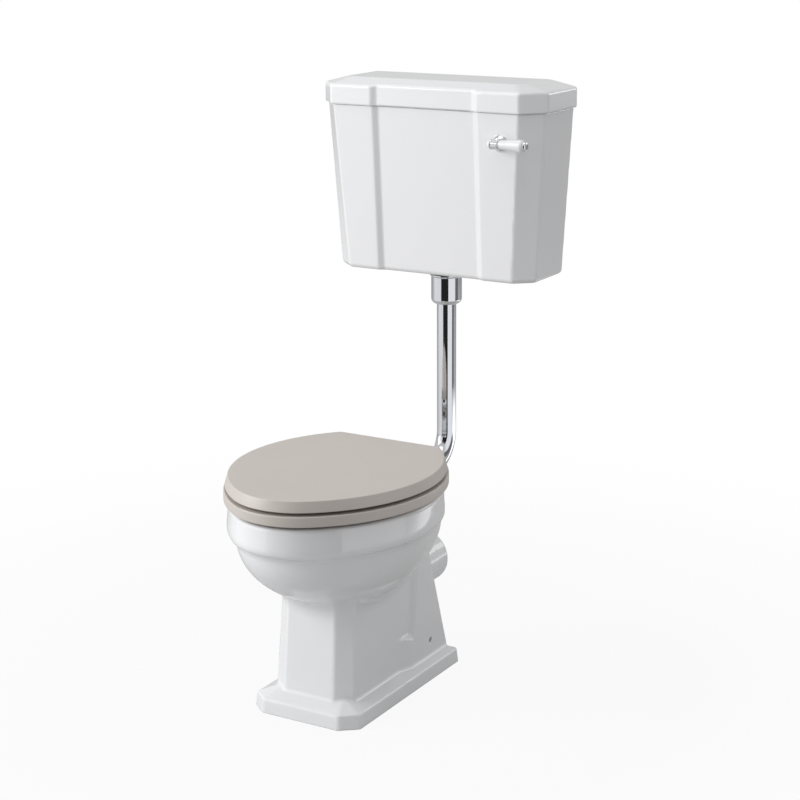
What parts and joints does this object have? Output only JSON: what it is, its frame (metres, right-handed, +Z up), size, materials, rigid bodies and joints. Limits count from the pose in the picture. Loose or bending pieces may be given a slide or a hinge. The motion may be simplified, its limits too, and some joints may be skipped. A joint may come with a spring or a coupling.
{
  "type": "low level toilet",
  "caption": "Floor-standing ceramic toilet with hinged seat and cover, chromed flush pipe and wall-hung lever-flush tank with its siphon and float valve.",
  "frame": {"origin": "on the floor, midway between the front of the seat and the wall, on the plane of symmetry of the pan", "axes": "+Z up, +Y towards the wall, +X to the right of someone who faces the wall"},
  "size_m": [0.482, 0.7275, 1.112],
  "materials": {
    "china": "gloss white glaze",
    "seat_paint": "satin stone grey paint",
    "rubber": "matte black",
    "chrome": "polished chrome plate",
    "brass": "turned",
    "steel": "drawn",
    "white_plastic": "moulded",
    "dark_plastic": "moulded"
  },
  "bodies": {
    "suite": {"pan_rim": "china", "pan_deck": "china", "pan_bowl": "china", "pan_throat": "china", "pan_foot": "china", "pan_outlet": "china", "cistern": "china", "flush_pipe": "chrome", "flush_pipe_nut": "chrome", "flush_pipe_washer": "rubber", "inlet_cone": "rubber", "siphon_body": "white_plastic", "siphon_washer": "rubber", "siphon_back_nut": "dark_plastic", "fill_valve_body": "brass", "fill_valve_washer": "rubber", "fill_valve_nut": "dark_plastic", "fill_valve_cap": "dark_plastic", "float_pivot_pin": "brass", "lever_bush": "chrome", "lever_bush_washer": "rubber", "lever_bush_nut": "brass", "hinge_pillars": "chrome", "hinge_bar": "chrome", "hinge_studs": "brass", "hinge_washers": "rubber", "hinge_wing_nuts": "brass"},
    "seat": {"seat_ring": "seat_paint", "ring_knuckles": "chrome", "ring_hinge_screws": "chrome", "seat_buffers": "rubber"},
    "seat_cover": {"seat_lid": "seat_paint", "lid_knuckles": "chrome", "lid_hinge_screws": "chrome", "lid_buffers": "rubber"},
    "tank_cover": {"cistern_lid": "china"},
    "flush_lever": {"lever_boss": "chrome", "lever_handle": "china", "lever_end_cap": "chrome", "lever_ball": "china", "lever_spindle": "brass", "lever_arm": "brass", "lever_arm_screw": "steel"},
    "siphon_plunger": {"plunger_rod": "brass", "plunger_plate": "white_plastic", "plunger_diaphragm": "rubber", "lift_hook": "steel"},
    "float": {"float_arm": "brass", "float_ball": "white_plastic"},
    "valve_pin": {"fill_valve_pin": "steel"}
  },
  "joints": [
    {"name": "seat_cover_hinge", "type": "hinge", "parent": "suite", "child": "seat_cover", "pos_m": [0, 0.09825, 0.429], "axis": [-1, 0, 0], "range_deg": [0, 100]},
    {"name": "seat_hinge", "type": "hinge", "parent": "suite", "child": "seat", "pos_m": [0, 0.09825, 0.429], "axis": [-1, 0, 0], "range_deg": [0, 100]},
    {"name": "tank_cover_lift", "type": "slide", "parent": "suite", "child": "tank_cover", "axis": [0, 0, 1], "range_m": [0, 0.25]},
    {"name": "flush_lever_turn", "type": "hinge", "parent": "suite", "child": "flush_lever", "pos_m": [0.16, 0.20613, 1.006], "axis": [0, 1, 0], "range_deg": [0, 25]},
    {"name": "siphon_plunger_lift", "type": "slide", "parent": "suite", "child": "siphon_plunger", "axis": [0, 0, 1], "range_m": [0, 0.0395]},
    {"name": "float_rise", "type": "hinge", "parent": "suite", "child": "float", "pos_m": [-0.093, 0.30625, 0.96], "axis": [0, 1, 0], "range_deg": [0, 30]},
    {"name": "valve_pin_push", "type": "slide", "parent": "suite", "child": "valve_pin", "axis": [1, 0, 0], "range_m": [0, 0.0031]}
  ],
  "couplings": [
    {"joint": "seat_hinge", "follows": "seat_cover_hinge", "ratio": 1},
    {"joint": "siphon_plunger_lift", "follows": "flush_lever_turn", "m_per_rad": 0.089251},
    {"joint": "valve_pin_push", "follows": "float_rise", "m_per_rad": 0.00573}
  ]
}
